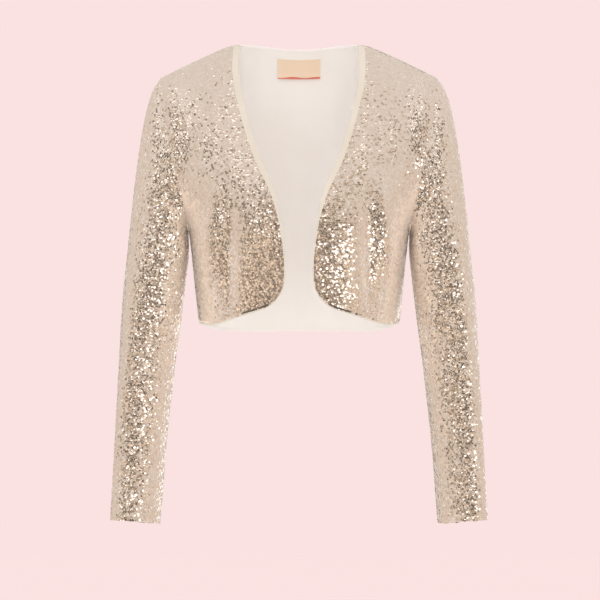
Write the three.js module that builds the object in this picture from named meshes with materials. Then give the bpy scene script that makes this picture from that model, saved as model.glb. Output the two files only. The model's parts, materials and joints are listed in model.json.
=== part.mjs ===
// Cropped open-front shrug with long set-in sleeves, in the hollow form it has when it is worn.
// Millimetres, +Z up, -Y to the front, +X to the wearer's left.
// The origin lies midway between the two neck points of the shoulder seams, where the shoulders carry the garment.
// Every piece of cloth is a wall: one sheet of points, moved along its normals to an outer and an inner face.
import * as THREE from "three";

// Walls and seams
const cloth = 1.5; // wall of the sequinned cloth
const lining = 1.0; // wall of the lining
const gap = 0.3; // clearance at every seam and between layers
const layer = cloth + gap; // how deep the lining lies under the outer face

// Neck and shoulders
const neckHalf = 78.5; // neck point of the shoulder seam, from the centre
const neckRise = 2.5; // highest stretch of the back neck, above the neck points
const shoulderRound = 80; // height over which the body rounds over into the shoulders
const bodyRoundness = 2.4; // exponent of the body's superellipse sections

// Side seam and armhole
const underarmZ = -242;
const sideHemZ = -370; // hem at the side seam
const backHemZ = -382; // hem at the centre of the back
const backHemCorner = 10; // power with which the back hem turns up to the side seam
const liningHemUp = 4; // the back lining ends this far above the hem

// Front edge band
const bandAtNeck = 9;
const bandAtHem = 3;

// Neck label, placed by the columns of the back from its centre and the rows from its upper edge
const labelColumns = [-1.5, -1, 0, 1, 1.5];
const labelRows = [3.1, 3, 2.5, 2, 1.65];
const labelWall = 1;
const labelLift = 2.2; // how far its folded lower edge stands off the lining

// How finely the sheets are divided
const armholeSteps = 12; // from the shoulder tip to the underarm, front and back alike
const sideSteps = 9; // from the underarm to the hem
const frontSteps = 12; // from the front edge to the side
const neckSteps = 6; // from the centre of the back to the neck point
const shoulderSteps = 8; // from the neck point to the shoulder tip
const capSteps = 9; // from the armhole to the upper arm
const armSteps = 14; // from the upper arm to the cuff

// Body sections: half width where front and back meet, and the depths of front and back at the centre.
const bodySections = [
  { z: -382, half: 130.5, front: 96, back: 86 },
  { z: -350, half: 134.8, front: 104, back: 88 },
  { z: -310, half: 139, front: 115, back: 92 },
  { z: -275, half: 142.6, front: 123, back: 97 },
  { z: -245, half: 146.5, front: 126, back: 101 },
  { z: -228, half: 151, front: 123, back: 103 },
  { z: -212, half: 157.5, front: 118.5, back: 104 },
  { z: -195, half: 164.5, front: 112.5, back: 105 },
  { z: -175, half: 171, front: 104, back: 105 },
  { z: -140, half: 181, front: 88, back: 102 },
  { z: -100, half: 190, front: 68, back: 94 },
  { z: -60, half: 198, front: 50, back: 84.5 },
  { z: 10, half: 212, front: 30, back: 75 },
];

// Ridge of the shoulders: from the neck point to the shoulder tip it is the shoulder seam, and inside the neck
// it is the line that the cloth would follow.
const ridgeLine = [
  { x: 0, z: 34 },
  { x: 20, z: 29.5 },
  { x: 37, z: 21.4 },
  { x: 53, z: 13.7 },
  { x: 68, z: 6 },
  { x: 78.5, z: 0 },
  { x: 92, z: -2.2 },
  { x: 108, z: -8.6 },
  { x: 148, z: -27 },
  { x: 183, z: -44.5 },
];

// Armhole seam: half width of the body pieces at each height.
const armhole = [
  { z: -242, x: 146.5 },
  { z: -225, x: 149.8 },
  { z: -200, x: 154.5 },
  { z: -170, x: 159 },
  { z: -140, x: 166 },
  { z: -110, x: 174 },
  { z: -80, x: 180 },
  { z: -44.5, x: 183 },
];

// Free edge of the front, from the neck point down, round the lower corner and along the hem to the side.
const frontOutline = [
  { x: 78.8, z: 0 },
  { x: 79.3, z: -46 },
  { x: 71.6, z: -85 },
  { x: 62.5, z: -119 },
  { x: 51, z: -154 },
  { x: 41.9, z: -174 },
  { x: 34, z: -192 },
  { x: 29, z: -209 },
  { x: 24.4, z: -232 },
  { x: 18.7, z: -273 },
  { x: 17.1, z: -296 },
  { x: 20.5, z: -326 },
  { x: 36.5, z: -347.5 },
  { x: 66, z: -357.5 },
  { x: 88, z: -365 },
  { x: 112, z: -372.5 },
  { x: 131.9, z: -370 },
];
const cornerAt = 0.724; // share of that edge at which the grid turns its lower corner

// Sleeve sections: the inner and outer side, the middle and half depth from front to back, how far the outer side
// is turned to the front, and the slopes of the ring to the outer side and to the front.
const sleeveSections = [
  { z: -631.5, inner: 184, outer: 248.2, middle: -20, half: 37, turn: 0.33, slope: 0.075, pitch: 0.1 },
  { z: -606, inner: 182, outer: 246.8, middle: -17.5, half: 38, turn: 0.33, slope: 0.075, pitch: 0.1 },
  { z: -539, inner: 177.4, outer: 243.4, middle: -11, half: 40.5, turn: 0.33, slope: 0.075, pitch: 0.09 },
  { z: -473, inner: 171, outer: 240.3, middle: -5, half: 43, turn: 0.3, slope: 0.075, pitch: 0.07 },
  { z: -406, inner: 162.5, outer: 237.3, middle: -1.5, half: 46, turn: 0.22, slope: 0.07, pitch: 0.03 },
  { z: -340, inner: 154, outer: 234.2, middle: 0, half: 50, turn: 0.08, slope: 0.04, pitch: 0 },
  { z: -285, inner: 147.3, outer: 228.8, middle: 0, half: 53, turn: 0, slope: 0, pitch: 0 },
];
const cuffZ = sleeveSections[0].z;
const upperArmZ = sleeveSections.at(-1).z;
const armLean = 0.1; // how far the sleeve moves out for each millimetre down
const capStart = 0.1; // share of a cap line over which it still leaves the seam straight
const capEnd = 0.49; // share of a cap line over which it already runs down the arm

// Directions in which the sleeve leaves the armhole.
const offShoulder = new THREE.Vector3(0.905, 0, -0.425);
const offUnderarm = new THREE.Vector3(0.45, 0, -0.9);
const offBulge = 0.25; // its turn to the front and to the back halfway down

// Soft vertical folds of the body: distance from the centre, top and bottom, half width and depth.
const frontFolds = [
  { x: 94, top: -188, bottom: -430, width: 12, depth: -5 },
  { x: 120, top: -190, bottom: -430, width: 14, depth: 3 },
];
const backFolds = [
  { x: 58, top: -110, bottom: -420, width: 20, depth: -3.5 },
  { x: 112, top: -160, bottom: -410, width: 16, depth: 3 },
];

// Soft creases of the sleeve: height, angle round the arm from its outer side to the front, half length, half width,
// depth, and lean of the crease from the vertical.
const sleeveCreases = [
  { z: -208, angle: 118, length: 30, width: 8, depth: -3.5, lean: 42 },
  { z: -236, angle: 132, length: 26, width: 7, depth: -3, lean: 50 },
  { z: -392, angle: 150, length: 30, width: 9, depth: -3, lean: 68 },
  { z: -424, angle: 128, length: 26, width: 9, depth: -2.5, lean: 62 },
  { z: -330, angle: 70, length: 70, width: 13, depth: 2, lean: 12 },
  { z: -520, angle: 60, length: 75, width: 12, depth: -2.5, lean: -8 },
  { z: -215, angle: 238, length: 32, width: 9, depth: -3.5, lean: -40 },
  { z: -405, angle: 235, length: 34, width: 10, depth: -3, lean: -60 },
  { z: -510, angle: 290, length: 60, width: 12, depth: -2.5, lean: 8 },
];

const { clamp, degToRad, lerp, smoothstep } = THREE.MathUtils;

// One column of a table as a smooth function of another. It never overshoots between two rows.
function column(rows, name, by = "z") {
  const at = rows.map((row) => row[by]);
  const value = rows.map((row) => row[name]);
  const slope = at.slice(1).map((next, i) => (value[i + 1] - value[i]) / (next - at[i]));
  const tangent = value.map((_, i) => {
    const before = slope[Math.max(i - 1, 0)];
    const after = slope[Math.min(i, slope.length - 1)];
    return before * after <= 0 ? 0 : (2 * before * after) / (before + after);
  });
  return (where) => {
    const x = clamp(where, at[0], at.at(-1));
    const i = Math.max(at.findIndex((end) => x <= end) - 1, 0);
    const span = at[i + 1] - at[i];
    const t = (x - at[i]) / span;
    const rise = t * t * (3 - 2 * t);
    const curl = span * t * (1 - t);
    return lerp(value[i], value[i + 1], rise) + curl * ((1 - t) * tangent[i] - t * tangent[i + 1]);
  };
}

const halfAt = column(bodySections, "half");
const frontAt = column(bodySections, "front");
const backAt = column(bodySections, "back");
const ridge = column(ridgeLine, "z", "x");
const armholeX = column(armhole, "x");
const innerAt = column(sleeveSections, "inner");
const outerAt = column(sleeveSections, "outer");
const middleAt = column(sleeveSections, "middle");
const sleeveHalfAt = column(sleeveSections, "half");
const turnAt = column(sleeveSections, "turn");
const slopeAt = column(sleeveSections, "slope");
const pitchAt = column(sleeveSections, "pitch");
const tip = ridgeLine.at(-1);

// Height of the upper edge of the back at a distance from the centre: the back neck, then the shoulder seam.
function upperEdge(x) {
  return x < neckHalf ? neckRise * Math.sin(Math.PI * (x / neckHalf) ** 2) : ridge(x);
}

// How far a point of the body lies in front of (side -1) or behind (side 1) the plane of the seams.
function bodyDepth(side, x, z) {
  const full = (side < 0 ? frontAt : backAt)(z);
  const inside = Math.max(0, 1 - (x / halfAt(z)) ** bodyRoundness);
  let depth = full * inside ** (1 / bodyRoundness);
  for (const fold of side < 0 ? frontFolds : backFolds) {
    const middle = (fold.top + fold.bottom) / 2;
    const along = Math.max(0, 1 - ((z - middle) / (fold.top - middle)) ** 2);
    depth += fold.depth * along * Math.exp(-(((x - fold.x) / fold.width) ** 2)) * Math.min(1, inside * 2);
  }
  const below = clamp((ridge(x) - z) / shoulderRound, 0, 1);
  return depth * Math.sqrt(below * (2 - below));
}

const bodyPoint = (side, x, z) => new THREE.Vector3(x, side * (gap / 2 + bodyDepth(side, x, z)), z);

// Numbers from one end to another, closer together at both ends.
function spaced(from, to, steps) {
  return Array.from({ length: steps + 1 }, (_, i) => lerp(from, to, (1 - Math.cos((i / steps) * Math.PI)) / 2));
}

// Points up the side of the body: the side seam, then the armhole.
function sideRows(hemZ) {
  const heights = [...spaced(hemZ, underarmZ, sideSteps), ...spaced(underarmZ, tip.z, armholeSteps).slice(1)];
  return heights.map((z) => ({ x: z < underarmZ ? halfAt(z) : armholeX(z), z }));
}

// Point of a grid stretched between four edges, all given as { x, z }. across and up run from 0 to 1.
function stretched(left, right, bottom, top, corners, across, up) {
  const blend = (key) =>
    lerp(left[key], right[key], across) +
    lerp(bottom[key], top[key], up) -
    lerp(
      lerp(corners.bottomLeft[key], corners.bottomRight[key], across),
      lerp(corners.topLeft[key], corners.topRight[key], across),
      up,
    );
  return { x: blend("x"), z: blend("z") };
}

// Quads of a grid of columns and rows whose points are numbered column by column. Their faces point outwards
// where the columns run away from the centre and the rows run up, on the front.
function gridQuads(columns, rows, first = 0) {
  const quads = [];
  for (let c = 0; c < columns; c++) {
    for (let r = 0; r < rows; r++) {
      const a = first + c * (rows + 1) + r;
      quads.push([a, a + rows + 1, a + rows + 2, a + 1]);
    }
  }
  return quads;
}

const flipped = (quads) => quads.map(([a, b, c, d]) => [d, c, b, a]);

// Normals of a sheet at its points, from the faces round each one. onSeam keeps those on a seam square to it.
function sheetNormals(points, quads, onSeam = () => false) {
  const normals = points.map(() => new THREE.Vector3());
  const one = new THREE.Vector3();
  const other = new THREE.Vector3();
  for (const quad of quads) {
    one.subVectors(points[quad[2]], points[quad[0]]);
    other.subVectors(points[quad[3]], points[quad[1]]);
    const face = one.cross(other);
    for (const i of quad) normals[i].add(face);
  }
  normals.forEach((normal, i) => {
    if (onSeam(i)) normal.y = 0;
    normal.normalize();
  });
  return normals;
}

// Closed wall between two depths under a sheet.
function wall(points, normals, quads, fromDepth, toDepth) {
  const used = [...new Set(quads.flat())];
  const order = new Map(used.map((point, i) => [point, i]));
  const count = used.length;
  const at = [];
  for (const depth of [fromDepth, toDepth]) {
    for (const i of used) at.push(...points[i].clone().addScaledVector(normals[i], -depth));
  }
  const faces = [];
  const edges = new Set();
  for (const quad of quads) {
    const [a, b, c, d] = quad.map((point) => order.get(point));
    const short = points[quad[0]].distanceTo(points[quad[2]]) <= points[quad[1]].distanceTo(points[quad[3]]);
    const halves = short ? [a, b, c, a, c, d] : [b, c, d, b, d, a];
    faces.push(...halves, ...halves.map((i) => i + count).reverse());
    for (const [from, to] of [[a, b], [b, c], [c, d], [d, a]]) edges.add(`${from} ${to}`);
  }
  for (const edge of edges) {
    const [a, b] = edge.split(" ").map(Number);
    if (!edges.has(`${b} ${a}`)) faces.push(b, a, a + count, b, a + count, b + count);
  }
  const geometry = new THREE.BufferGeometry();
  geometry.setAttribute("position", new THREE.Float32BufferAttribute(at, 3));
  geometry.setIndex(faces);
  geometry.computeVertexNormals();
  return geometry;
}

// Back: one piece across both shoulders, from the hem to the back neck. Its second row is the lining's hem.
function backSheet() {
  const rows = sideRows(sideHemZ);
  const neckShare = neckHalf / tip.x;
  const overNeck = spaced(-neckShare, neckShare, 2 * neckSteps).slice(neckSteps + 1);
  const reach = [0, ...overNeck, ...spaced(neckShare, 1, shoulderSteps).slice(1)];
  const hem = (share) => {
    const x = share * rows[0].x;
    return { x, z: lerp(backHemZ, sideHemZ, (x / rows[0].x) ** backHemCorner) };
  };
  const neckline = (share) => ({ x: share * tip.x, z: upperEdge(share * tip.x) });
  const corners = { bottomLeft: hem(0), bottomRight: hem(1), topLeft: neckline(0), topRight: neckline(1) };
  const half = reach.map((share) => {
    const line = rows.map((row) => {
      const up = (row.z - sideHemZ) / (tip.z - sideHemZ);
      const centre = { x: 0, z: lerp(backHemZ, 0, up) };
      return stretched(centre, row, hem(share), neckline(share), corners, share, up);
    });
    const first = { x: line[0].x, z: line[0].z + liningHemUp };
    return [line[0], first, ...line.slice(1)].map(({ x, z }) => bodyPoint(1, x, z));
  });
  const mirrored = half.slice(1).map((line) => line.map((p) => new THREE.Vector3(-p.x, p.y, p.z)));
  const columns = [...mirrored.reverse(), ...half];
  const points = columns.flat();
  const perColumn = columns[0].length;
  const quads = flipped(gridQuads(columns.length - 1, perColumn - 1));
  const normals = sheetNormals(points, quads, (i) => {
    const row = i % perColumn;
    const edgeColumn = i < perColumn || i >= points.length - perColumn;
    const onShoulder = row === perColumn - 1 && Math.abs(points[i].x) >= neckHalf - gap;
    return onShoulder || (edgeColumn && row <= sideSteps + 1);
  });
  const lined = quads.filter((quad) => quad.every((i) => i % perColumn > 0));
  const edge = half.at(-1).slice(sideSteps + 1).map((point) => ({ point, normal: normals[points.indexOf(point)] }));
  return { points, normals, quads, lined, edge };
}

// Wearer's left front: the sequinned panel, and the strip of points between it and the free edge.
function frontSheet() {
  const outline = new THREE.CatmullRomCurve3(
    frontOutline.map(({ x, z }) => new THREE.Vector3(x, 0, z)),
    false,
    "centripetal",
  );
  const bandWidth = (u) => lerp(bandAtNeck, bandAtHem, smoothstep(u, 0.38, 0.58));
  const inset = (u, width) => {
    const at = outline.getPointAt(u);
    const along = outline.getTangentAt(u);
    return { x: at.x - along.z * width, z: at.z + along.x * width };
  };
  const panelEdge = (u) => inset(u, bandWidth(u) + gap);
  const side = sideRows(panelEdge(1).z);
  const neck = panelEdge(0);
  const shoulder = (share) => {
    const x = lerp(neck.x, tip.x, share);
    return { x, z: ridge(x) };
  };
  const leftAt = (up) => cornerAt * (1 - up);
  const bottomAt = (share) => lerp(cornerAt, 1, share);
  const corners = {
    bottomLeft: panelEdge(cornerAt),
    bottomRight: side[0],
    topLeft: shoulder(0),
    topRight: shoulder(1),
  };
  const up = side.map(({ z }) => (z - side[0].z) / (tip.z - side[0].z));
  const reach = spaced(0, 1, frontSteps);
  const columns = reach.map((share) =>
    side.map((row, r) => {
      const left = r === side.length - 1 ? shoulder(0) : panelEdge(leftAt(up[r]));
      const bottom = share === 1 ? side[0] : panelEdge(bottomAt(share));
      const { x, z } = stretched(left, row, bottom, shoulder(share), corners, share, up[r]);
      return bodyPoint(-1, x, z);
    }),
  );
  const points = columns.flat();
  const rows = side.length - 1;
  const panel = gridQuads(frontSteps, rows);

  // The chain of panel points along the free edge, from the neck point down and along the hem to the side.
  const chain = [];
  for (let r = rows; r >= 0; r--) chain.push({ point: r, u: leftAt(up[r]) });
  for (let c = 1; c <= frontSteps; c++) chain.push({ point: c * (rows + 1), u: bottomAt(reach[c]) });
  const strip = (width) =>
    chain.map(({ u }) => {
      const { x, z } = inset(u, width(u));
      return bodyPoint(-1, u === 1 ? halfAt(z) : x, u === 0 ? ridge(x) : z);
    });
  const free = points.length;
  points.push(...strip(() => 0));
  const seam = points.length;
  points.push(...strip(bandWidth));
  const border = (inner) => chain.slice(1).map((_, i) => [free + i, free + i + 1, inner(i + 1), inner(i)]);
  const lined = [...panel, ...border((i) => chain[i].point)];
  const last = points.length - seam - 1;
  const normals = sheetNormals(points, lined, (i) => {
    if (i >= free) return i === free || i === free + last;
    return i % (rows + 1) === rows || (i >= frontSteps * (rows + 1) && i % (rows + 1) <= sideSteps);
  });
  chain.forEach(({ point }, i) => normals[seam + i].copy(normals[point]));
  const band = border((i) => seam + i);
  const edge = columns.at(-1).slice(sideSteps).map((point) => ({ point, normal: normals[points.indexOf(point)] }));
  return { points, normals, quads: panel, lined, band, edge };
}

// How far a crease moves the sleeve's wall at an angle, a height and a radius.
function creaseDepth(angle, z, radius) {
  let depth = 0;
  for (const crease of sleeveCreases) {
    const turn = degToRad(crease.angle) - angle;
    const round = Math.atan2(Math.sin(turn), Math.cos(turn)) * radius;
    const down = z - crease.z;
    const lean = degToRad(crease.lean);
    const along = (down * Math.cos(lean) + round * Math.sin(lean)) / crease.length;
    const across = (round * Math.cos(lean) - down * Math.sin(lean)) / crease.width;
    depth += crease.depth * Math.exp(-along * along - across * across);
  }
  return depth;
}

// Point of the sleeve on the ring at height z. The angle runs from the outer side to the front.
function armPoint(angle, z) {
  const middle = (innerAt(z) + outerAt(z)) / 2;
  const out = ((outerAt(z) - innerAt(z)) / 2) * Math.cos(angle);
  const forward = sleeveHalfAt(z) * Math.sin(angle) + turnAt(z) * out;
  return new THREE.Vector3(middle + out, middleAt(z) - forward, z + slopeAt(z) * out + pitchAt(z) * forward);
}

// Direction in which the sleeve leaves the armhole, at an angle round it from the shoulder tip to the front.
function leaving(angle) {
  const off = offShoulder.clone().lerp(offUnderarm, (1 - Math.cos(angle)) / 2);
  off.y = -offBulge * Math.sin(angle);
  return off.normalize();
}

// Wearer's left sleeve: the cap from the armhole's points to the upper arm, then rings down to the cuff.
function sleeveSheet(frontEdge, backEdge) {
  const around = 2 * armholeSteps;
  const seam = [];
  for (let i = 0; i < around; i++) {
    const front = frontEdge[Math.abs(armholeSteps - i)];
    const back = backEdge[Math.abs(armholeSteps - i)];
    const both = {
      point: front.point.clone().add(back.point).multiplyScalar(0.5),
      normal: front.normal.clone().add(back.normal).normalize(),
    };
    if (i % armholeSteps === 0) seam.push(both);
    else seam.push(i < armholeSteps ? front : back);
  }
  const perColumn = capSteps + armSteps + 1;
  const points = seam.flatMap((start, i) => {
    const angle = (i / armholeSteps) * Math.PI;
    const off = leaving(angle);
    const from = start.point.clone().addScaledVector(off, gap);
    const to = armPoint(angle, upperArmZ);
    const length = from.distanceTo(to);
    const down = new THREE.Vector3(armLean, 0, -1).normalize();
    const line = new THREE.CubicBezierCurve3(
      from,
      from.clone().addScaledVector(off, capStart * length),
      to.clone().addScaledVector(down, -capEnd * length),
      to,
    );
    const column = [];
    for (let r = 0; r < capSteps; r++) column.push(line.getPoint(r / capSteps));
    for (let r = 0; r <= armSteps; r++) column.push(armPoint(angle, lerp(upperArmZ, cuffZ, r / armSteps)));
    return column;
  });
  const quads = gridQuads(around, capSteps + armSteps).map((quad) => quad.map((i) => i % points.length));
  const smooth = sheetNormals(points, quads);
  points.forEach((point, i) => {
    const row = i % perColumn;
    const angle = (Math.floor(i / perColumn) / armholeSteps) * Math.PI;
    const fade = smoothstep(row, 0, 3);
    point.addScaledVector(smooth[i], creaseDepth(angle, point.z, sleeveHalfAt(point.z)) * fade);
  });
  const normals = sheetNormals(points, quads);
  // Where the sleeve doesn't turn outwards from the body, both walls meet along the body's normal.
  seam.forEach(({ normal }, i) => {
    const outwards = normal.dot(leaving((i / armholeSteps) * Math.PI));
    normals[i * perColumn].lerp(normal, 1 - smoothstep(outwards, 0.15, 0.5)).normalize();
  });
  return { points, normals, quads };
}

// Label on the inner face of the back lining, below the back neck. Its folded lower edge stands off a little.
function labelSheet(sheet) {
  const rows = sideSteps + armholeSteps + 1;
  const between = (list, column, row) => {
    const c = Math.floor(column);
    const r = Math.floor(row);
    const at = (right, up) => list[(c + right) * (rows + 1) + r + up].clone();
    const low = at(0, 0).lerp(at(1, 0), column - c);
    return low.lerp(at(0, 1).lerp(at(1, 1), column - c), row - r);
  };
  const points = [];
  const normals = [];
  for (const across of labelColumns) {
    labelRows.forEach((down, i) => {
      const place = [neckSteps + shoulderSteps + across, rows - down];
      const normal = between(sheet.normals, ...place);
      const lift = labelLift * (1 - i / (labelRows.length - 1)) ** 3;
      points.push(between(sheet.points, ...place).addScaledVector(normal, -(layer + lining + gap + lift)));
      normals.push(normal);
    });
  }
  return { points, normals, quads: flipped(gridQuads(labelColumns.length - 1, labelRows.length - 1)) };
}

// The same sheet on the wearer's other side.
function mirrored(sheet) {
  const turn = (v) => new THREE.Vector3(-v.x, v.y, v.z);
  const turned = { points: sheet.points.map(turn), normals: sheet.normals.map(turn) };
  for (const key of ["quads", "lined", "band"]) {
    if (sheet[key]) turned[key] = flipped(sheet[key]);
  }
  return turned;
}

const sequinned = new THREE.MeshStandardMaterial({ color: 0xcdb59c, roughness: 0.35, metalness: 0.6 });
const satin = new THREE.MeshStandardMaterial({ color: 0xece1d5, roughness: 0.6, metalness: 0 });
const edging = new THREE.MeshStandardMaterial({ color: 0xe4d5c0, roughness: 0.5, metalness: 0 });
const labelCloth = new THREE.MeshStandardMaterial({ color: 0xf0d3b3, roughness: 0.5, metalness: 0 });

const shrug = new THREE.Group();

function addPiece(name, sheet, quads, fromDepth, toDepth, material) {
  const mesh = new THREE.Mesh(wall(sheet.points, sheet.normals, quads, fromDepth, toDepth), material);
  mesh.name = name;
  shrug.add(mesh);
}

const back = backSheet();
const frontLeft = frontSheet();
const sleeveLeft = sleeveSheet(frontLeft.edge, back.edge);

addPiece("back", back, back.quads, 0, cloth, sequinned);
addPiece("back_lining", back, back.lined, layer, layer + lining, satin);
for (const [side, turn] of [["left", (sheet) => sheet], ["right", mirrored]]) {
  const front = turn(frontLeft);
  const sleeve = turn(sleeveLeft);
  addPiece(`front_${side}`, front, front.quads, 0, cloth, sequinned);
  addPiece(`front_band_${side}`, front, front.band, 0, cloth, edging);
  addPiece(`front_lining_${side}`, front, front.lined, layer, layer + lining, satin);
  addPiece(`sleeve_${side}`, sleeve, sleeve.quads, 0, cloth, sequinned);
}
const label = labelSheet(back);
addPiece("neck_label", label, label.quads, 0, labelWall, labelCloth);

export default shrug;
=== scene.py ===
import json
import math

import bpy
import numpy as np
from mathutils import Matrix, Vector
from mathutils.kdtree import KDTree

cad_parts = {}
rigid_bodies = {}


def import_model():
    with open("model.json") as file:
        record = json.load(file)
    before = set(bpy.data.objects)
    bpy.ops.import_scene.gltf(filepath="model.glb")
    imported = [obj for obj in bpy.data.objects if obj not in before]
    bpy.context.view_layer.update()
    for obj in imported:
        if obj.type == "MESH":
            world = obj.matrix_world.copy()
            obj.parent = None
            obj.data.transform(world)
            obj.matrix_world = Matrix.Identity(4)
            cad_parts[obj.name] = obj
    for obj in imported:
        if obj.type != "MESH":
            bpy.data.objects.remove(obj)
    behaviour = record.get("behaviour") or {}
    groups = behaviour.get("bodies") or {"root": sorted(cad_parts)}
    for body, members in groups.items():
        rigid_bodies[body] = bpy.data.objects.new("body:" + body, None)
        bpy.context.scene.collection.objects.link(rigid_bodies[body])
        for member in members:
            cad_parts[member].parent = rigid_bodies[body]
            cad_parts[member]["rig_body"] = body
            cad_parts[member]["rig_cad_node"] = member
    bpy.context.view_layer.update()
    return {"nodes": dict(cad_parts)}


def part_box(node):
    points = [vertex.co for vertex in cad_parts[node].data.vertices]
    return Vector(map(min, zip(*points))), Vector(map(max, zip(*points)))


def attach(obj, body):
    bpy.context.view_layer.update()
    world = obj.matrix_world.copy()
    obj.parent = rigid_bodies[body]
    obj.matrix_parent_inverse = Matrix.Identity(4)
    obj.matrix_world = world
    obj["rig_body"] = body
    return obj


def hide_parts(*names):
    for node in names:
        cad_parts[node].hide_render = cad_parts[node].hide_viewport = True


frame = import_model()
mm = 0.001
sides = {"left": 1, "right": -1}  # the wearer's left is at +X
print("frame loaded, with", len(frame["nodes"]), "cloth pieces")

view = {
    "middle": (0.00133, -0.33915),  # what the camera looks at, across and up
    "distance": 3.0,
    "width": 0.798,  # how much the frame takes in at the garment
    "sensor": 36.0,
}


def placeCamera():
    across, up = view["middle"]
    bpy.ops.object.camera_add(
        location=(across, -view["distance"], up), rotation=(math.pi / 2, 0, 0)
    )
    camera = bpy.context.active_object
    camera.data.sensor_width = view["sensor"]
    camera.data.lens = view["sensor"] * view["distance"] / view["width"]
    bpy.context.scene.camera = camera


class Value:
    # a socket that takes part in sums as a number does
    def __init__(self, shader, socket):
        self.shader = shader
        self.socket = socket

    def maths(self, operation, first, second=0.0):
        settings = {"operation": operation}
        return self.shader.node("ShaderNodeMath", settings, {0: first, 1: second})

    def __add__(self, other):
        return self.maths("ADD", self, other)

    def __radd__(self, other):
        return self.maths("ADD", other, self)

    def __sub__(self, other):
        return self.maths("SUBTRACT", self, other)

    def __rsub__(self, other):
        return self.maths("SUBTRACT", other, self)

    def __mul__(self, other):
        return self.maths("MULTIPLY", self, other)

    def __rmul__(self, other):
        return self.maths("MULTIPLY", other, self)


class Shader:
    def __init__(self, tree):
        self.tree = tree
        tree.nodes.clear()

    def node(self, kind, settings=None, values=None, output=0):
        made = self.tree.nodes.new(kind)
        for name, setting in (settings or {}).items():
            setattr(made, name, setting)
        for place, value in (values or {}).items():
            if isinstance(value, Value):
                self.tree.links.new(value.socket, made.inputs[place])
            else:
                made.inputs[place].default_value = value
        return Value(self, made.outputs[output]) if len(made.outputs) else None

    def between(self, value, low, high):
        # 0 below low, 1 above high, and smooth between them
        settings = {"interpolation_type": "SMOOTHSTEP"}
        values = {0: value, 1: low, 2: high, 3: 0.0, 4: 1.0}
        return self.node("ShaderNodeMapRange", settings, values)

    def part(self, vector, place):
        apart = self.node("ShaderNodeSeparateXYZ", None, {0: vector})
        return Value(self, apart.socket.node.outputs[place])

    def mixed(self, share, first, second):
        settings = {"data_type": "RGBA"}
        return self.node("ShaderNodeMix", settings, {0: share, 6: first, 7: second}, 2)

    def onPiece(self):
        return self.node("ShaderNodeTexCoord", None, None, 3)

    def ownValue(self, name):
        return self.node("ShaderNodeAttribute", {"attribute_name": name}, None, 2)

    def cloud(self, place, scale):
        return self.node("ShaderNodeTexNoise", None, {"Vector": place, "Scale": scale})

    def bumps(self, height, strength):
        values = {"Strength": strength, "Distance": 0.1 * mm, "Height": height}
        return self.node("ShaderNodeBump", None, values)

    def surface(self, values):
        made = self.node("ShaderNodeBsdfPrincipled", None, values)
        self.node("ShaderNodeOutputMaterial", None, {0: made})


# each pair is where something begins and where it is full, as parts of a direction
studio = {
    "backdrop": (0.955, 0.760, 0.755, 1),  # what the camera sees behind the garment
    "ambient": 1.12,  # soft light on the cloth from all round
    "topLight": 0.04,  # how much more comes from above
    "frontLight": 0.08,  # and from the front
    "around": 0.79,  # what the sequins mirror from the sides
    "above": 0.855,  # and from above
    "rise": (0.1, 0.75),
    "aroundTint": (1.0, 0.97, 0.965, 1),
    "aboveTint": (0.965, 1.0, 1.05, 1),
    "floorShade": (0.66, 0.85),  # how far down the dark near the floor begins
    "floorDepth": 0.8,
    "bounceGain": (0.31, 0.30),  # on cloth and on sequins, keeps the light up in narrow gaps
    "bounceTint": (0.66, 1.0, 1.5, 1),
    "bounceShare": (0.35, 0.65),  # how much of that tint all gets, and sequins on top of it
    "fill": 6.0,  # watts of the large soft lamp at the front
    "fillPlace": (0, -2.6, -0.3),
    "fillSize": (2.4, 1.8),
}

# what stands before and behind the garment in the studio, seen only as it is mirrored
gear = {
    "dark": 0.15,
    "bright": 0.83,
    "shades": (0.25, 0.88),
    "tint": (1.0, 0.925, 0.85, 1),
    "scale": 5.0,  # how many patches there are
    "top": (0.64, 0.75),
    "narrowing": 0.6,  # how much less wide it is higher up
    "frontWidth": (0.68, 0.86),
    "frontFrom": (0.0, 0.2),
    "backWidth": (0.40, 0.62),
    "backFrom": (0.4, 0.7),
    "lift": 0.68,  # how much lighter it is low down
    "liftFrom": (0.1, 0.33),
    "lampFrom": 0.95,  # one patch in twenty is a lamp
    "lampStrength": 2.35,
    "lampTint": (0.90, 1.0, 1.14, 1),
    "topRow": (0.56, 0.65),  # where only bright patches are left
    "topRowLamps": 0.14,  # and how many more of them are lamps
}


def gearSeen(shader, direction):
    # how much of the mirrored studio is gear, how bright it is, and its colour
    x, y, z = (shader.part(direction, place) for place in range(3))
    wide = x.maths("ABSOLUTE", x) + z * gear["narrowing"]
    inFront = shader.between(0 - y, *gear["frontFrom"])
    behind = shader.between(y, *gear["backFrom"])
    front = (1 - shader.between(wide, *gear["frontWidth"])) * inFront
    back = (1 - shader.between(wide, *gear["backWidth"])) * behind
    share = (front + back) * (1 - shader.between(z, *gear["top"]))
    values = {"Vector": direction, "Scale": gear["scale"]}
    patches = shader.node("ShaderNodeTexVoronoi", {"feature": "F1"}, values, 1)
    topRow = shader.between(z, *gear["topRow"])
    tone = shader.between(shader.part(patches, 0), *gear["shades"])
    tone = tone.maths("MAXIMUM", tone, topRow)
    chance = shader.part(patches, 1) + topRow * gear["topRowLamps"]
    lamps = shader.between(chance, gear["lampFrom"], 1.0)
    lift = shader.between(0 - z, *gear["liftFrom"]) * gear["lift"] + 1
    plain = (tone * (gear["bright"] - gear["dark"]) + gear["dark"]) * lift
    light = plain + lamps * gear["lampStrength"]
    return share, light, shader.mixed(lamps, gear["tint"], gear["lampTint"])


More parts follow.
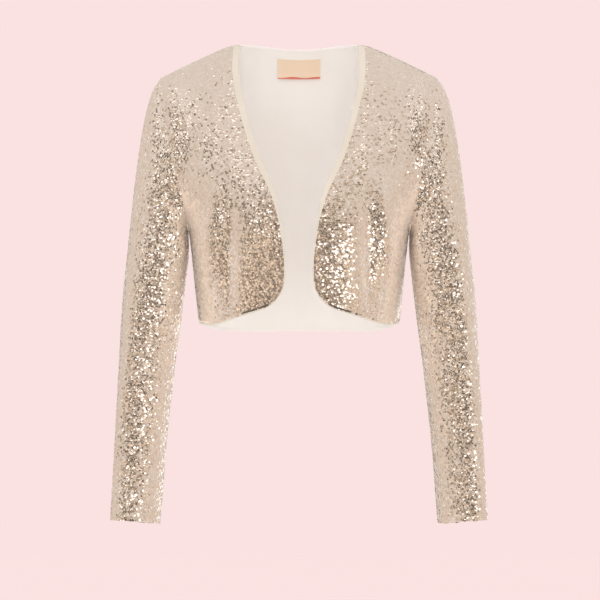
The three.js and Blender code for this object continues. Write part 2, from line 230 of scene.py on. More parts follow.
def lightStudio():
    world = bpy.data.worlds.new("studio")
    bpy.context.scene.world = world
    world.use_nodes = True
    shader = Shader(world.node_tree)
    direction = shader.node("ShaderNodeTexCoord")
    y = shader.part(direction, 1)
    z = shader.part(direction, 2)
    path = shader.node("ShaderNodeLightPath").socket.node
    isGlossy = Value(shader, path.outputs["Is Glossy Ray"])
    isCamera = Value(shader, path.outputs["Is Camera Ray"])
    depth = Value(shader, path.outputs["Ray Depth"])
    # the sequins mirror the gear, with plain light above and round the sides
    share, gearLight, gearTint = gearSeen(shader, direction)
    rise = shader.between(z, *studio["rise"])
    openLight = rise * (studio["above"] - studio["around"]) + studio["around"]
    nearFloor = shader.between(0 - z, *studio["floorShade"]) * studio["floorDepth"]
    mirrored = (gearLight * share + (1 - share) * openLight) * (1 - nearFloor)
    # the cloth has even light
    lit = z * studio["topLight"] - y * studio["frontLight"] + studio["ambient"]
    # both get more of it after several bounces, and a cooler one
    deeper = depth.maths("MAXIMUM", depth - 2, 0.0)
    onCloth, onSequins = studio["bounceGain"]
    gain = deeper * (isGlossy * onSequins + onCloth) + 1
    strength = (lit + isGlossy * (mirrored - lit)) * gain
    tint = shader.mixed(rise, studio["aroundTint"], studio["aboveTint"])
    tint = shader.mixed(share, tint, gearTint)
    tint = shader.mixed(isGlossy, (1, 1, 1, 1), tint)
    always, glossy = studio["bounceShare"]
    later = deeper.maths("MINIMUM", deeper * 0.5, 1.0) * (isGlossy * glossy + always)
    tint = shader.mixed(later, tint, studio["bounceTint"])
    light = shader.node("ShaderNodeBackground", None, {0: tint, 1: strength})
    backdrop = shader.node("ShaderNodeBackground", None, {0: studio["backdrop"]})
    seen = shader.node("ShaderNodeMixShader", None, {0: isCamera, 1: light, 2: backdrop})
    shader.node("ShaderNodeOutputWorld", None, {0: seen})
    bpy.context.scene.view_settings.view_transform = "Standard"


def placeFill():
    bpy.ops.object.light_add(
        type="AREA", location=studio["fillPlace"], rotation=(math.pi / 2, 0, 0)
    )
    fill = bpy.context.active_object
    fill.data.shape = "RECTANGLE"
    fill.data.size, fill.data.size_y = studio["fillSize"]
    fill.data.energy = studio["fill"]
    fill.visible_glossy = False
    fill.visible_camera = False


def makeMaterial(name):
    material = bpy.data.materials.new(name)
    material.use_nodes = True
    return material, Shader(material.node_tree)


paleFloor = {
    "height": -1.36,
    "radius": 6.0,
    "corners": 96,
    "tone": (0.838, 0.665, 0.660, 1),
    "roughness": 0.85,
    "spread": 0.1,  # how much rougher it gets in patches
    "patches": 2.0,
}


def layFloor():
    bpy.ops.mesh.primitive_circle_add(
        vertices=paleFloor["corners"],
        radius=paleFloor["radius"],
        fill_type="NGON",
        location=(0, 0, paleFloor["height"]),
    )
    floor = bpy.context.active_object
    floor.name = "floor"
    bpy.ops.object.transform_apply(location=True, rotation=True, scale=True)
    material, shader = makeMaterial("paleFloor")
    cloud = shader.cloud(shader.onPiece(), paleFloor["patches"])
    shader.surface({
        "Base Color": paleFloor["tone"],
        "Roughness": cloud * paleFloor["spread"] + paleFloor["roughness"],
        "Specular IOR Level": 0.0,
    })
    floor.data.materials.append(material)
    floor.visible_glossy = False
    floor.visible_diffuse = False


placeCamera()
lightStudio()
placeFill()
layFloor()
print("studio set")


foilFinish = {
    "pale": (0.90, 0.73, 0.59, 1),
    "deep": (0.80, 0.63, 0.495, 1),
    "own": 0.75,  # how much of the tone is each sequin's own, and not the patch's round it
    "patches": 9.0,
    "roughness": 0.11,  # of the shiniest
    "spread": 0.12,
}

# tone and shade, roughness, sheen, the threads' pitch and how far they stand out; the shade is
# the darker colour of random patches, and is also painted shade where the threads lie low
clothFinishes = {
    "netGround": ((0.77, 0.70, 0.63, 1), (0.70, 0.63, 0.56, 1), 0.8, 0.1, 1.1 * mm, 0.6),
    "liningCloth": ((0.925, 0.86, 0.80, 1), (0.90, 0.825, 0.755, 1), 0.55, 0.15, 0.45 * mm, 0.25),
    "edgingCloth": ((0.72, 0.63, 0.525, 1), (0.67, 0.58, 0.475, 1), 0.45, 0.1, 0.45 * mm, 0.3),
}

clothPatches = {
    "scale": 14.0,
    "edge": (0.38, 0.62),
    # the threads' part of it is painted shade, darker where they lie low
    "share": 0.6,  # how much of the change of tone they make, the threads making the rest
    "roughness": 0.12,
    "sheenRoughness": 0.4,
}


def sequinFoil():
    material, shader = makeMaterial("sequinFoil")
    own = shader.ownValue("tint")
    shine = shader.ownValue("shine")
    cloud = shader.cloud(shader.onPiece(), foilFinish["patches"])
    share = own * foilFinish["own"] + cloud * (1 - foilFinish["own"])
    shader.surface({
        "Base Color": shader.mixed(share, foilFinish["deep"], foilFinish["pale"]),
        "Metallic": 1.0,
        "Roughness": shine * foilFinish["spread"] + foilFinish["roughness"],
    })
    return material


def clothMaterial(name):
    tone, shade, roughness, sheen, pitch, relief = clothFinishes[name]
    material, shader = makeMaterial(name)
    # over-and-under threads, drawn on the flat cut, which also darken the colour where they lie
    # low, as painted shade in their grooves
    cut = shader.node("ShaderNodeUVMap", {"uv_map": "flatCut"})
    across = shader.part(cut, 0) * (math.tau / pitch)
    down = shader.part(cut, 1) * (math.tau / pitch)
    threads = across.maths("SINE", across) * down.maths("SINE", down) * 0.5 + 0.5
    cloud = shader.cloud(cut, clothPatches["scale"])
    patch = shader.between(cloud, *clothPatches["edge"])
    # random patches of tone, and painted shade in the threads' grooves
    share = patch * clothPatches["share"] + threads * (1 - clothPatches["share"])
    spread = clothPatches["roughness"]
    shader.surface({
        "Base Color": shader.mixed(share, shade, tone),
        "Roughness": cloud * spread + (roughness - spread / 2),
        "Sheen Weight": sheen,
        "Sheen Roughness": clothPatches["sheenRoughness"],
        "Normal": shader.bumps(threads, relief),
    })
    return material


foil = sequinFoil()
ground = clothMaterial("netGround")
liningCloth = clothMaterial("liningCloth")
edgingCloth = clothMaterial("edgingCloth")
print("finishes made")


# how the cloth pieces are taken from their solids
cutting = {
    "join": 0.02 * mm,  # corners nearer than this are one
    "facing": 0.7,  # how squarely the first face looks the given way
    "edge": math.radians(50),  # a sheet ends where the surface turns more sharply
    "skew": math.radians(70),
    "armhole": 0.2,  # how far above the cuff a sleeve's armhole lies at least
    "margin": 0.01,  # round the map of the flat cut
    "leastShare": 0.3,  # of the box round it that a cut fills
}


def pick(piece):
    bpy.ops.object.select_all(action="DESELECT")
    piece.hide_set(False)
    piece.select_set(True)
    bpy.context.view_layer.objects.active = piece


def copyNode(nodeName, pieceName):
    # a piece that starts from a cloth node's own surface, with its corners joined
    node = frame["nodes"][nodeName]
    pick(node)
    bpy.ops.object.duplicate()
    piece = bpy.context.active_object
    bpy.ops.object.parent_clear(type="CLEAR_KEEP_TRANSFORM")
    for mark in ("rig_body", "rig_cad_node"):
        del piece[mark]
    piece.name = pieceName
    piece.data.name = pieceName
    piece.data.materials.clear()
    while piece.data.uv_layers:
        piece.data.uv_layers.remove(piece.data.uv_layers[0])
    bpy.ops.object.mode_set(mode="EDIT")
    bpy.ops.mesh.select_all(action="SELECT")
    bpy.ops.mesh.remove_doubles(threshold=cutting["join"])
    bpy.ops.mesh.select_all(action="DESELECT")
    bpy.ops.object.mode_set(mode="OBJECT")
    return piece


def keepSheet(piece, near, facing):
    # the one side of the wall whose face nearest a place is turned the given way
    near, facing = Vector(near), Vector(facing)
    faces = [face for face in piece.data.polygons if face.normal.dot(facing) > cutting["facing"]]
    first = min(faces, key=lambda face: (face.center - near).length)
    for face in piece.data.polygons:
        face.select = face.index == first.index
    bpy.ops.object.mode_set(mode="EDIT")
    bpy.ops.mesh.select_mode(type="FACE")
    bpy.ops.mesh.faces_select_linked_flat(sharpness=cutting["edge"])
    bpy.ops.mesh.select_all(action="INVERT")
    bpy.ops.mesh.delete(type="FACE")
    bpy.ops.mesh.select_all(action="SELECT")
    bpy.ops.mesh.tris_convert_to_quads(
        face_threshold=cutting["edge"], shape_threshold=cutting["skew"]
    )
    bpy.ops.mesh.select_all(action="DESELECT")
    bpy.ops.object.mode_set(mode="OBJECT")


def edgesOfOneFace(mesh):
    uses = {}
    for face in mesh.polygons:
        for key in face.edge_keys:
            uses[key] = uses.get(key, 0) + 1
    return [key for key, count in uses.items() if count == 1]


def openSeam(piece):
    # marks the seam of a tube: from its lowest point at the armhole straight down
    mesh = piece.data
    around = {}
    for edge in mesh.edges:
        for first, second in (edge.vertices, reversed(edge.vertices)):
            around.setdefault(first, []).append((second, edge))
    rim = {v for key in edgesOfOneFace(mesh) for v in key}
    lowest = min(mesh.vertices[v].co.z for v in rim)
    upperRim = [v for v in rim if mesh.vertices[v].co.z > lowest + cutting["armhole"]]
    here = min(upperRim, key=lambda v: mesh.vertices[v].co.z)
    above = set(upperRim)
    while here not in rim or here in above:
        steps = [(v, edge) for v, edge in around[here] if v not in above]
        start = mesh.vertices[here].co
        here, edge = min(
            steps, key=lambda step: (mesh.vertices[step[0]].co - start).normalized().z
        )
        edge.use_seam = True


def unwrapFlat(piece):
    # the flat cut as a map in metres, with up on the garment up in the cut
    pick(piece)
    piece.data.uv_layers.new(name="flatCut")
    bpy.ops.object.mode_set(mode="EDIT")
    bpy.ops.mesh.select_all(action="SELECT")
    bpy.ops.uv.unwrap(method="ANGLE_BASED", margin=0.0)
    bpy.ops.object.mode_set(mode="OBJECT")
    mesh = piece.data
    mesh.calc_loop_triangles()
    corners, loops, flat = cutOf(mesh)
    places = placesOf(mesh)
    a, b, c = places[corners].transpose(1, 0, 2)
    real = np.linalg.norm(np.cross(b - a, c - a), axis=1).sum()
    p, q, r = flat[loops].transpose(1, 0, 2)
    drawn = np.abs(cross2(q - p, r - p)).sum()
    flat = flat * math.sqrt(real / drawn)
    # the heights, fitted over the cut, tell which way is up
    heights = places[cornerVertices(mesh), 2]
    table = np.column_stack([flat, np.ones(len(flat))])
    across, up, _ = np.linalg.lstsq(table, heights, rcond=None)[0]
    length = math.hypot(across, up)
    across, up = across / length, up / length
    turned = np.column_stack(
        [flat[:, 0] * up - flat[:, 1] * across, flat[:, 0] * across + flat[:, 1] * up]
    )
    turned -= turned.min(0)
    turned += cutting["margin"]
    mesh.uv_layers["flatCut"].uv.foreach_set("vector", turned.astype(np.float32).ravel())
    size = np.ptp(turned, axis=0)
    area = real / 2
    print(f"  {piece.name}: cut {size[0]:.3f} x {size[1]:.3f} m, {area:.4f} m2")
    return (float(size[0]), float(size[1])), float(area)


def sheetArea(size, area):
    # the area, from the least share of its box to all of it
    box = size[0] * size[1]
    return min(max(area, cutting["leastShare"] * box), box)


def cross2(first, second):
    return first[:, 0] * second[:, 1] - first[:, 1] * second[:, 0]


def placesOf(mesh):
    places = np.empty(len(mesh.vertices) * 3, np.float32)
    mesh.vertices.foreach_get("co", places)
    return places.reshape(-1, 3).astype(float)


def normalsOf(mesh):
    normals = np.empty(len(mesh.vertices) * 3, np.float32)
    mesh.vertex_normals.foreach_get("vector", normals)
    return normals.reshape(-1, 3).astype(float)


def cornerVertices(mesh):
    vertices = np.empty(len(mesh.loops), np.int32)
    mesh.loops.foreach_get("vertex_index", vertices)
    return vertices


def cutOf(mesh):
    count = len(mesh.loop_triangles)
    corners = np.empty(count * 3, np.int32)
    loops = np.empty(count * 3, np.int32)
    mesh.loop_triangles.foreach_get("vertices", corners)
    mesh.loop_triangles.foreach_get("loops", loops)
    flat = np.empty(len(mesh.loops) * 2, np.float32)
    mesh.uv_layers["flatCut"].uv.foreach_get("vector", flat)
    return corners.reshape(-1, 3), loops.reshape(-1, 3), flat.reshape(-1, 2).astype(float)


def refine(piece, levels):
    pick(piece)
    bpy.ops.object.modifier_add(type="SUBSURF")
    smoother = piece.modifiers[-1]
    smoother.levels = smoother.render_levels = levels
    smoother.boundary_smooth = "PRESERVE_CORNERS"
    bpy.ops.object.modifier_apply(modifier=smoother.name)


fold = {
    "start": 0.06,  # how far along its swell a fold begins, and as far before the end it stops
    "fullness": 0.8,
    "sideways": 2.5,  # how soon it fades where the cloth turns to the side
}


def alongLines(places, normals, rows, mirror):
    # the sum of soft bowed lines over the cloth, each as strong as its row's depth
    total = np.zeros(len(places))
    for fromX, fromZ, toX, toZ, bow, width, depth, side in rows:
        start = np.array([fromX * mirror, fromZ]) * mm
        along = np.array([toX * mirror, toZ]) * mm - start
        length = np.linalg.norm(along)
        along = along / length
        out = np.array([-along[1], along[0]]) * mirror
        fromStart = places[:, [0, 2]] - start
        share = (fromStart @ along / length).clip(0, 1)
        off = fromStart @ out - bow * mm * 4 * share * (1 - share)
        past = np.abs(fromStart @ along - share * length)
        nearness = np.exp(-(off**2 + past**2) / (width * mm) ** 2)
        swell = fold["start"] + (1 - 2 * fold["start"]) * share
        taper = np.sin(math.pi * swell) ** fold["fullness"]
        facing = (normals[:, 1] * side * fold["sideways"]).clip(0, 1)
        total += nearness * taper * facing * depth
    return total


def crease(piece, rows, mirror):
    # soft troughs (depth below 0) and ridges
    places = placesOf(piece.data)
    normals = normalsOf(piece.data)
    moved = alongLines(places, normals, rows, mirror) * mm
    places += normals * moved[:, None]
    piece.data.vertices.foreach_set("co", places.astype(np.float32).ravel())
    piece.data.update()


def thicken(piece, thickness):
    pick(piece)
    bpy.ops.object.modifier_add(type="SOLIDIFY")
    wall = piece.modifiers[-1]
    wall.thickness = thickness
    wall.offset = -1
    bpy.ops.object.modifier_apply(modifier=wall.name)


def finishPiece(piece, material, nodeName):
    piece.data.materials.clear()
    piece.data.materials.append(material)
    pick(piece)
    bpy.ops.object.shade_smooth_by_angle(angle=cutting["edge"])
    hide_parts(nodeName)
    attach(piece, "root")


sequin = {
    "radius": 2.0 * mm,
    "cup": 0.17 * mm,  # how deep its middle lies
    "sides": 8,
    "across": 3.05 * mm,  # from one to the next in a row
    "down": 2.75 * mm,  # from row to row
    "lift": 0.3 * mm,  # above the net
    "scaleTilt": math.radians(1.0),  # all of them lie a little like scales
    "drift": 0.22 * mm,  # how unevenly they are sewn on
    "mapSize": 0.72,  # of its patch in the map of the cut, so that the patches stay apart
    "edgeMargin": 2.1 * mm,  # how far their middles stay from the back's neck and hem
    "hang": math.radians(34),  # how far the fronts' lowest row tips over the edge
    "hangLift": 0.9 * mm,
}


def latticeOn(shell):
    # the places of a staggered lattice on the flat cut, found on the shell
    mesh = shell.data
    mesh.calc_loop_triangles()
    corners, loops, flat = cutOf(mesh)
    places, normals = placesOf(mesh), normalsOf(mesh)
    cut = flat[loops]
    down, across = sequin["down"], sequin["across"]
    firstRow = np.ceil(cut[:, :, 1].min(1) / down)
    lastRow = np.floor(cut[:, :, 1].max(1) / down)
    found = []
    for rowStep in range(int((lastRow - firstRow).max()) + 1):
        row = firstRow + rowStep
        shift = 0.5 * (row % 2)
        firstColumn = np.ceil(cut[:, :, 0].min(1) / across - shift)
        lastColumn = np.floor(cut[:, :, 0].max(1) / across - shift)
        for columnStep in range(int((lastColumn - firstColumn).max()) + 1):
            column = firstColumn + columnStep
            spot = np.column_stack([(column + shift) * across, row * down])
            a, b, c = cut.transpose(1, 0, 2)
            whole = cross2(b - a, c - a)
            second = cross2(spot - a, c - a) / whole
            third = cross2(b - a, spot - a) / whole
            inside = (row <= lastRow) & (column <= lastColumn)
            inside &= (second >= 0) & (third >= 0) & (second + third < 1)
            index = np.nonzero(inside)[0]
            shares = np.column_stack([1 - second - third, second, third])[index]
            found.append((index, shares, spot[index]))
    index = np.concatenate([row[0] for row in found])
    shares = np.concatenate([row[1] for row in found])
    spots = np.concatenate([row[2] for row in found])
    a, b, c = places[corners[index]].transpose(1, 0, 2)
    p, q, r = cut[index].transpose(1, 0, 2)
    toB, toC = q - p, r - p
    whole = cross2(toB, toC)[:, None]
    rightward = ((b - a) * toC[:, 1:] - (c - a) * toB[:, 1:]) / whole
    spot = (places[corners[index]] * shares[:, :, None]).sum(1)
    normal = unit((normals[corners[index]] * shares[:, :, None]).sum(1))
    rightward = unit(rightward - normal * (rightward * normal).sum(1)[:, None])
    return spot, normal, rightward, spots


def freeEdges(mesh, chosen):
    # the ends of the edges that only one face uses, where their middles are chosen
    ends = np.array(edgesOfOneFace(mesh))
    return ends[chosen(placesOf(mesh)[ends].mean(1))]


def clearOfEdge(shell, spot, chosen, margin):
    # which of the places lie further than a margin from a stretch of the shell's free edge
    points = placesOf(shell.data)
    ends = freeEdges(shell.data, chosen)
    steps = 8
    stretch = KDTree(len(ends) * steps)
    for index, (first, second) in enumerate(points[ends]):
        for step in range(steps):
            stretch.insert(first + (second - first) * step / steps, index * steps + step)
    stretch.balance()
    return np.array([stretch.find(place)[2] > margin for place in spot])


def alongEdge(shell, chosen):
    # places a few millimetres apart along a stretch of the shell's free edge
    mesh = shell.data
    points, normals = placesOf(mesh), normalsOf(mesh)
    corners, loops, flat = cutOf(mesh)
    cutAt = np.zeros((len(points), 2))
    cutAt[cornerVertices(mesh)] = flat
    ends = freeEdges(mesh, chosen)
    lengths = np.linalg.norm(np.diff(points[ends], axis=1)[:, 0], axis=1)
    steps = np.ceil(lengths / sequin["across"]).astype(int)
    which = np.repeat(np.arange(len(ends)), steps)
    order = np.arange(len(which)) - np.repeat(np.cumsum(steps) - steps, steps)
    share = ((order + 0.5) / steps[which])[:, None]
    first, second = ends[which].T
    spot = points[first] * (1 - share) + points[second] * share
    normal = unit(normals[first] * (1 - share) + normals[second] * share)
    cut = cutAt[first] * (1 - share) + cutAt[second] * share
    right = unit(np.cross((0, 0, 1), normal))
    return spot, normal, right, cut


def unit(vectors):
    return vectors / np.linalg.norm(vectors, axis=1)[:, None]


def joinedCups(name, centre, right, up, axis, cut, chance):
    # one mesh with a shallow cup at every place, and a tint and a shine for each
    count, sides = len(centre), sequin["sides"]
    turns = np.arange(sides) * math.tau / sides
    ringX = np.append(0, np.cos(turns)) * sequin["radius"]
    ringY = np.append(0, np.sin(turns)) * sequin["radius"]
    ringZ = np.append(-sequin["cup"], np.zeros(sides))
    points = (
        centre[:, None, :]
        + right[:, None, :] * ringX[None, :, None]
        + up[:, None, :] * ringY[None, :, None]
        + axis[:, None, :] * ringZ[None, :, None]
    )
    corners = len(ringX)
    rim = np.arange(sides)
    fan = np.column_stack([np.zeros_like(rim), rim + 1, (rim + 1) % sides + 1])
    faces = (np.arange(count)[:, None, None] * corners + fan[None]).reshape(-1, 3)
    mesh = bpy.data.meshes.new(name)
    mesh.vertices.add(count * corners)
    mesh.vertices.foreach_set("co", points.astype(np.float32).ravel())
    mesh.loops.add(faces.size)
    mesh.loops.foreach_set("vertex_index", faces.astype(np.int32).ravel())
    mesh.polygons.add(len(faces))
    mesh.polygons.foreach_set("loop_start", np.arange(0, faces.size, 3, dtype=np.int32))
    mesh.polygons.foreach_set("use_smooth", np.ones(len(faces), bool))
    flat = cut[:, None, :] + np.stack([ringX, ringY], 1)[None] * sequin["mapSize"]
    layer = mesh.uv_layers.new(name="flatCut")
    layer.uv.foreach_set("vector", flat.reshape(-1, 2)[faces.ravel()].astype(np.float32).ravel())
    for chosen in ("tint", "shine"):
        attribute = mesh.attributes.new(chosen, "FLOAT", "POINT")
        values = np.repeat(chance.uniform(0, 1, count), corners)
        attribute.data.foreach_set("value", values.astype(np.float32))
    mesh.update()
    mesh.validate()
    return mesh


def sewSequins(shell, name, settings, mirror):
    chance = np.random.default_rng(settings["seed"] + (mirror < 0))
    spot, normal, right, cut = latticeOn(shell)
    if "bareEdge" in settings:
        clear = clearOfEdge(shell, spot, settings["bareEdge"], sequin["edgeMargin"])
        spot, normal, right, cut = spot[clear], normal[clear], right[clear], cut[clear]
    inside = len(spot)
    rows = alongEdge(shell, settings["edgeRow"])
    spot, normal, right, cut = map(np.concatenate, zip((spot, normal, right, cut), rows))
    count = len(spot)
    turned = np.radians(alongLines(spot, normal, settings["turned"], mirror))
    inward = np.column_stack([np.tan(turned) * -mirror, np.zeros((count, 2))])
    up = np.cross(normal, right)
    spot = spot + chance.normal(0, sequin["drift"], (count, 1)) * right
    spot = spot + chance.normal(0, sequin["drift"], (count, 1)) * up
    loose = math.radians(settings["looseTilt"])
    leanUp = sequin["scaleTilt"] + chance.normal(0, loose, (count, 1))
    leanRight = chance.normal(0, loose, (count, 1))
    lift = np.full((count, 1), sequin["lift"])
    hanging = (np.arange(count) >= inside) & (spot[:, 2] < settings["hangingBelow"])
    leanUp[hanging] -= sequin["hang"]
    lift[hanging] = sequin["hangLift"]
    axis = unit(normal + up * np.tan(leanUp) + right * np.tan(leanRight) + inward)
    right = unit(right - axis * (right * axis).sum(1)[:, None])
    up = np.cross(axis, right)
    mesh = joinedCups(name, spot + normal * lift, right, up, axis, cut, chance)
    piece = bpy.data.objects.new(name, mesh)
    bpy.context.scene.collection.objects.link(piece)
    piece.data.materials.append(foil)
    piece.visible_diffuse = False  # the net between them stays light
    piece.visible_glossy = False  # and so do the folds, where they mirror one another
    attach(piece, "root")
    print(f"  {name}: {count} sequins")
    return piece


# how far from the middle and how high the stretches of free edge lie
edges = {
    "frontInside": 84 * mm,
    "frontTop": -12 * mm,
    "frontHem": -350 * mm,
    "armholeFoot": -400 * mm,
    "neckInside": 79 * mm,
    "neckFoot": -20 * mm,
    "backHem": -370 * mm,
}


def freeFrontEdge(places):
    inner = np.abs(places[:, 0]) < edges["frontInside"]
    return (inner & (places[:, 2] < edges["frontTop"])) | (places[:, 2] < edges["frontHem"])


def armhole(places):
    return places[:, 2] > edges["armholeFoot"]


def neckAndHem(places):
    neck = (np.abs(places[:, 0]) < edges["neckInside"]) & (places[:, 2] > edges["neckFoot"])
    return neck | (places[:, 2] < edges["backHem"])


def seamsOfBack(places):
    return ~neckAndHem(places)


# each crease: from x, z to x, z in mm, bow, width, depth, and the side it lies on
frontSide, backSide = -1, 1

backPanel = {
    "near": (0, 0.1, -0.2),  # a place by the outer face, and the way that faces
    "facing": (0, 1, 0),
    "seed": 11,
    "levels": 2,
    "wall": 1.2 * mm,
    "creases": (
        (40, -60, 62, -200, 6, 9, -1.2, backSide),
        (-46, -80, -60, -230, -5, 10, -1.3, backSide),
        (150, -120, 176, -180, 4, 8, -1.2, backSide),
        (-152, -126, -175, -186, -4, 8, -1.1, backSide),
        (14, -150, 20, -330, 3, 12, 1.0, backSide),
        (-20, -140, -28, -340, -3, 12, 0.9, backSide),
    ),
    "looseTilt": 5.5,  # how far the sequins tip, in degrees
    "turned": (),
    "bareEdge": neckAndHem,  # where none is sewn close to the edge
    "edgeRow": seamsOfBack,  # where a row of them follows it
    "hangingBelow": -math.inf,  # the height below which that row hangs over the edge
}

frontPanel = {
    "near": (0.1, -0.1, -0.2),
    "facing": (0, -1, 0),
    "seed": 21,
    "levels": 2,
    "wall": 1.2 * mm,
    "creases": (
        (146, -58, 148, -116, 2, 6, 1.1, frontSide),
        (105, -56, 103, -118, -2, 7, 0.9, frontSide),
        (126, -60, 128, -125, 2, 9, -0.8, frontSide),
        (150, -226, 128, -196, 3, 6, -1.2, frontSide),
        (146, -250, 118, -226, 3, 7, -0.9, frontSide),
        (88, -226, 92, -352, -2, 8, -3.2, frontSide),
        (108, -196, 112, -300, 2, 11, 4.0, frontSide),
    ),
    "looseTilt": 5.6,
    # lines along which they face the middle more (above 0) or less, with degrees for the depth
    "turned": (
        (84, -236, 86, -372, 0, 7, -16, frontSide),
        (102, -206, 104, -276, 0, 11, 12, frontSide),
        (110, -270, 112, -316, 0, 5, 9, frontSide),
        (95, -270, 94, -318, 0, 4, 9, frontSide),
        (104, -306, 110, -392, 0, 12, -16, frontSide),
        (158, -24, 160, -236, 0, 15, 28, frontSide),
        (148, -62, 146, -150, 1, 4, 12, frontSide),
        (124, -96, 121, -176, -1, 5, 13, frontSide),
        (108, -84, 104, -160, 1, 4, 13, frontSide),
        (86, -104, 76, -196, 2, 6, 12, frontSide),
    ),
    "edgeRow": freeFrontEdge,
    "hangingBelow": -345 * mm,
}

sleeve = {
    "near": (0.24, 0, -0.35),
    "facing": (1, 0, 0),
    "seed": 31,
    "levels": 2,
    "wall": 1.2 * mm,
    "creases": (
        (174, -200, 156, -224, 2, 5, -1.6, frontSide),
        (182, -214, 160, -240, 3, 6, -1.3, frontSide),
        (166, -168, 160, -214, -2, 5, 1.0, frontSide),
        (196, -372, 168, -398, 4, 8, -1.4, frontSide),
        (200, -400, 172, -420, -3, 8, -1.2, frontSide),
        (232, -560, 206, -590, 3, 8, -1.1, frontSide),
        (178, -204, 158, -230, 3, 6, -1.4, backSide),
        (200, -350, 168, -376, 4, 8, -1.5, backSide),
        (206, -386, 172, -404, -4, 9, -1.4, backSide),
        (228, -520, 196, -548, 3, 9, -1.1, backSide),
        (204, -230, 238, -640, 2, 12, 3.0, frontSide),
        (170, -256, 200, -640, -2, 11, 3.0, frontSide),
    ),
    "looseTilt": 8.5,
    "turned": (
        (176, -24, 176, -220, 0, 14, 22, frontSide),
        (208, -120, 216, -420, 0, 9, 13, frontSide),
        (158, -176, 160, -340, 0, 11, -26, frontSide),
        (160, -320, 176, -470, 0, 9, -16, frontSide),
        (232, -400, 242, -640, 0, 8, 8, frontSide),
    ),
    "edgeRow": armhole,
    "hangingBelow": -math.inf,
}


def makePanel(nodeName, settings, mirror):
    shell = copyNode(nodeName, nodeName + "_cloth")
    x, y, z = settings["near"]
    facing = (settings["facing"][0] * mirror, *settings["facing"][1:])
    keepSheet(shell, (x * mirror, y, z), facing)
    if settings is sleeve:
        openSeam(shell)
    size, area = unwrapFlat(shell)
    refine(shell, settings["levels"])
    crease(shell, settings["creases"], mirror)
    sequins = sewSequins(shell, nodeName + "_sequins", settings, mirror)
    outerFaces = len(shell.data.polygons)
    thicken(shell, settings["wall"])
    finishPiece(shell, ground, nodeName)
    if settings is not sleeve:
        # the inside and the turned-in hem are the lining's colour
        shell.data.materials.append(liningCloth)
        for face in shell.data.polygons[outerFaces:]:
            face.material_index = 1
    area = sheetArea(size, area)


makePanel("back", backPanel, 1)
for side, mirror in sides.items():
    makePanel("front_" + side, frontPanel, mirror)
    makePanel("sleeve_" + side, sleeve, mirror)
print("sequinned panels made")


lining = {
    "levels": 2,
    "wall": 0.8 * mm,
    "backNear": (0, 0.08, -0.2),
    "frontNear": (0.1, -0.08, -0.2),
    "backCreases": (
        (-52, -20, -66, -150, 4, 12, 1.2, frontSide),
        (44, -24, 58, -140, -5, 10, 1.4, frontSide),
        (58, -30, 76, -120, 3, 8, -1.2, frontSide),
        (-10, -120, -14, -300, 3, 22, 1.6, frontSide),
        (24, -150, 30, -330, -3, 18, 1.4, frontSide),
        (-34, -180, -38, -350, 3, 18, 1.5, frontSide),
        (8, -200, 8, -360, 2, 16, -1.4, frontSide),
    ),
    "frontCreases": (
        (88, -226, 92, -352, -2, 8, 3.4, backSide),
        (108, -196, 112, -300, 2, 11, -3.4, backSide),
        (104, -110, 96, -260, 4, 12, 1.1, backSide),
        (72, -160, 66, -300, -4, 12, 1.0, backSide),
    ),
}


def makeLining(nodeName, near, facing, creases, mirror):
    shell = copyNode(nodeName, nodeName + "_cloth")
    keepSheet(shell, near, facing)
    size, area = unwrapFlat(shell)
    refine(shell, lining["levels"])
    crease(shell, creases, mirror)
    thicken(shell, lining["wall"])
    finishPiece(shell, liningCloth, nodeName)
    sheetArea(size, area)


makeLining("back_lining", lining["backNear"], (0, -1, 0), lining["backCreases"], 1)
for side, mirror in sides.items():
    x, y, z = lining["frontNear"]
    makeLining(
        "front_lining_" + side, (x * mirror, y, z), (0, 1, 0), lining["frontCreases"], mirror
    )
print("lining made")


# the smooth fold along each front edge
edging = {
    "near": (0.075, -0.05, -0.12),
    "levels": 2,
    "wall": 1.3 * mm,
    "round": 0.5 * mm,
    "leastWidth": 0.01,  # of its strip
    "stations": 60,  # along its length
}


def makeEdging(side, mirror):
    nodeName = "front_band_" + side
    strip = copyNode(nodeName, nodeName + "_fold")
    x, y, z = edging["near"]
    keepSheet(strip, (x * mirror, y, z), (0, -1, 0))
    area = unwrapFlat(strip)[1]
    refine(strip, edging["levels"])
    thicken(strip, edging["wall"])
    pick(strip)
    bpy.ops.object.modifier_add(type="BEVEL")
    roll = strip.modifiers[-1]
    roll.width = edging["round"]
    roll.segments = 2
    roll.angle_limit = cutting["edge"]
    bpy.ops.object.modifier_apply(modifier=roll.name)
    finishPiece(strip, edgingCloth, nodeName)
    # a straight strip, as wide as the fold is on average where that is wide enough
    length = longestRun(strip)
    size = (max(area / length, edging["leastWidth"]), length)
    sheetArea(size, area)


def longestRun(piece):
    # the length of a line from station to station, from its lowest end to its highest
    places = placesOf(piece.data)
    order = np.argsort(places[:, 2])
    rows = np.array_split(places[order], edging["stations"])
    middles = np.array([row.mean(0) for row in rows])
    return float(np.linalg.norm(np.diff(middles, axis=0), axis=1).sum())


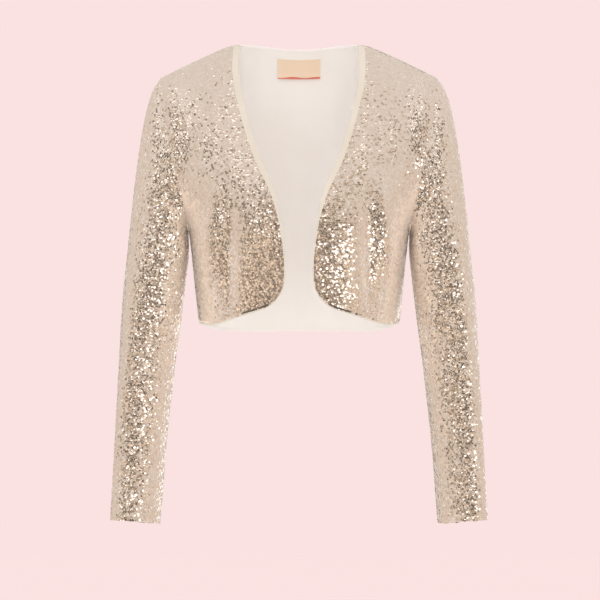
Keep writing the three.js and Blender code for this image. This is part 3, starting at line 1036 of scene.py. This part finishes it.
for side, mirror in sides.items():
    makeEdging(side, mirror)
print("front folds made")


label = {
    "levels": 2,
    "wall": 0.7 * mm,
    "tone": (0.88, 0.675, 0.485, 1),
    # a darker colour, painted as shade where the satin's threads lie low
    "shade": (0.84, 0.63, 0.455, 1),
    "roughness": 0.42,
    "sheen": 0.1,
    "thread": 0.5 * mm,
    "relief": 0.3,
    "edgeTone": (0.70, 0.16, 0.10, 1),
    "edge": 2.4 * mm,  # how much of the red lower edge shows
    "edgeBlur": 0.3 * mm,
    "wave": 0.7 * mm,  # how far the edge goes up and down, and how often
    "waves": 190.0,
    "curl": 1.6 * mm,  # how far the lower corners stand off, and from how far up
    "curlFrom": 6 * mm,
}


def labelSatin(low):
    material, shader = makeMaterial("labelSatin")
    place = shader.onPiece()
    across = shader.part(place, 0)
    height = shader.part(place, 2)
    wave = across.maths("SINE", across * label["waves"]) * label["wave"]
    top = low + label["edge"]
    red = 1 - shader.between(height + wave, top - label["edgeBlur"], top)
    turns = across * (math.tau / label["thread"])
    threads = turns.maths("SINE", turns) * 0.5 + 0.5
    # the satin is darker where its threads lie low: painted shade in their grooves
    satin = shader.mixed(threads, label["shade"], label["tone"])
    shader.surface({
        "Base Color": shader.mixed(red, satin, label["edgeTone"]),
        "Roughness": label["roughness"],
        "Sheen Weight": label["sheen"],
        "Normal": shader.bumps(threads, label["relief"]),
    })
    return material


def makeLabel():
    piece = copyNode("neck_label", "neck_label_satin")
    low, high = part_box("neck_label")
    keepSheet(piece, (0, low.y, (low.z + high.z) / 2), (0, -1, 0))
    size, area = unwrapFlat(piece)
    refine(piece, label["levels"])
    places = placesOf(piece.data)
    half = (high.x - low.x) / 2
    nearEdge = ((low.z - places[:, 2]) / label["curlFrom"] + 1).clip(0, 1) ** 2
    nearEnds = (np.abs(places[:, 0]) / half).clip(0, 1)
    places[:, 1] -= nearEdge * nearEnds * label["curl"]
    piece.data.vertices.foreach_set("co", places.astype(np.float32).ravel())
    piece.data.update()
    thicken(piece, label["wall"])
    finishPiece(piece, labelSatin(low.z), "neck_label")


makeLabel()
print("label made")
